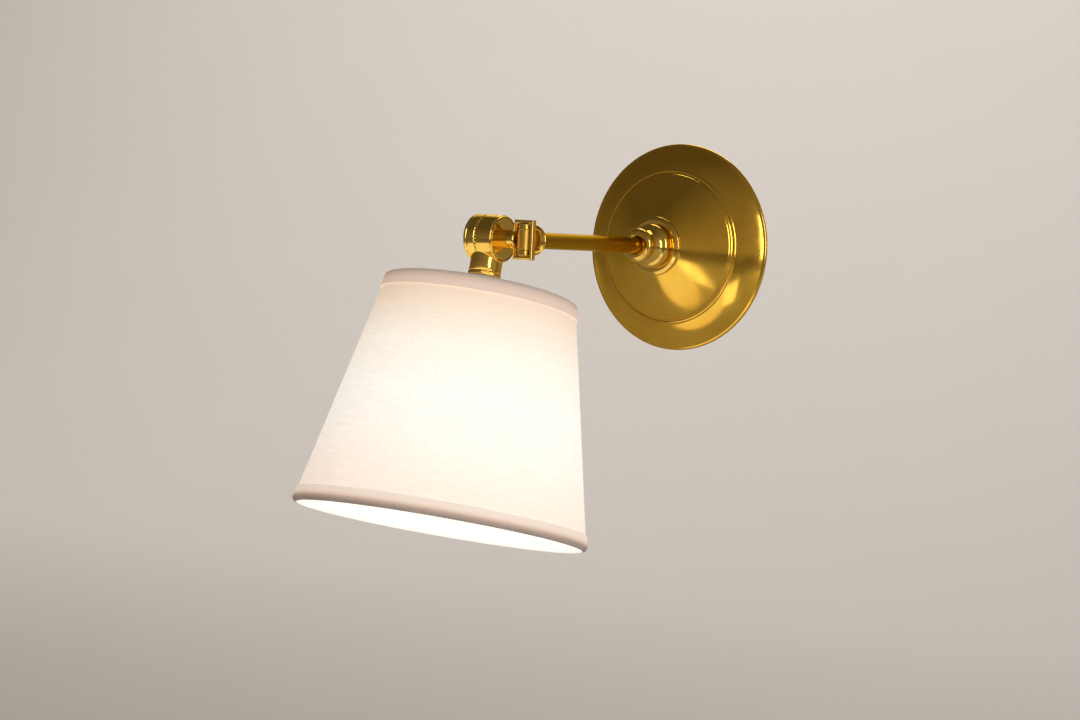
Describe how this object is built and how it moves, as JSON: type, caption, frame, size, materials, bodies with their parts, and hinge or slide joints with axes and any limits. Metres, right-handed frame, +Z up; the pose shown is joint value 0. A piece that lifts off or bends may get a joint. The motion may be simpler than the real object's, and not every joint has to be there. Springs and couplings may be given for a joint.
{
  "type": "wall light",
  "caption": "Wall light with a round domed backplate, a straight arm, a swing joint and a tilting drum that carries a tapered fabric shade over a lampholder.",
  "frame": {"origin": "centre of the backplate in the wall plane", "axes": "+Z up, +Y into the wall, -Y into the room along the arm, +X to the right seen from the room; the shade hangs at -X"},
  "size_m": [0.1802, 0.2962, 0.2568],
  "materials": {
    "polished_brass": "polished, slightly aged",
    "dark_brass": "duller and darker than the castings",
    "plain_brass": "as machined",
    "zinc_steel": "zinc plated",
    "lead_insulation": "satin",
    "white_plastic": "moulded",
    "fibre": "pressed fibre",
    "holder_plastic": "moulded",
    "porcelain": "unglazed",
    "nickel_plate": "nickel plated",
    "white_coated_steel": "powder coated",
    "shade_binding": "woven ribbon",
    "shade_fabric": "fine slub weave, lit from inside",
    "bulb_glass": "clear",
    "lit_filament": "glowing"
  },
  "bodies": {
    "wall_side": {"wall_bracket": "zinc_steel", "backplate": "polished_brass", "base_flange": "polished_brass", "arm_boss": "polished_brass", "boss_grub_screw": "zinc_steel", "arm_tube": "dark_brass", "inner_arm_nut": "zinc_steel", "outer_arm_nut": "zinc_steel", "terminal_block": "white_plastic", "terminal_screws": "plain_brass", "earth_tag": "plain_brass", "earth_screw": "zinc_steel", "arm_leads": "lead_insulation", "domed_collar": "polished_brass", "arm_knuckle": "plain_brass"},
    "swing_side": {"swing_ring": "polished_brass", "upper_pivot_pin": "zinc_steel", "lower_pivot_pin": "zinc_steel", "upper_spacer": "plain_brass", "lower_spacer": "plain_brass", "stem": "polished_brass", "drum_cheek": "polished_brass", "friction_washer": "fibre", "spring_washer": "zinc_steel", "axle_washer": "plain_brass", "axle_nut": "zinc_steel", "stem_leads": "lead_insulation"},
    "shade_side": {"drum_body": "polished_brass", "drum_end_cap": "polished_brass", "shade_neck": "polished_brass", "neck_ring": "polished_brass", "holder_cap": "holder_plastic", "holder_body": "holder_plastic", "holder_core": "porcelain", "centre_contact": "nickel_plate", "socket_shell": "nickel_plate", "upper_shade_ring": "holder_plastic", "lower_shade_ring": "holder_plastic", "shade_carrier": "white_coated_steel", "neck_leads": "lead_insulation", "top_trim": "shade_binding", "bottom_trim": "shade_binding", "fabric_panel": "shade_fabric", "top_wire_ring": "white_coated_steel", "bottom_wire_ring": "white_coated_steel", "bulb_cap": "nickel_plate", "bulb_glass": "bulb_glass", "bulb_mount": "bulb_glass", "filament_sticks": "lit_filament"}
  },
  "joints": [
    {"name": "arm_swing", "type": "hinge", "parent": "wall_side", "child": "swing_side", "pos_m": [0, -0.1718, 0], "axis": [0, 0, 1], "range_deg": [-8, 35]},
    {"name": "shade_tilt", "type": "hinge", "parent": "swing_side", "child": "shade_side", "pos_m": [-0.0249, -0.1718, 0], "axis": [-1, 0, 0], "range_deg": [-30, 120]}
  ]
}
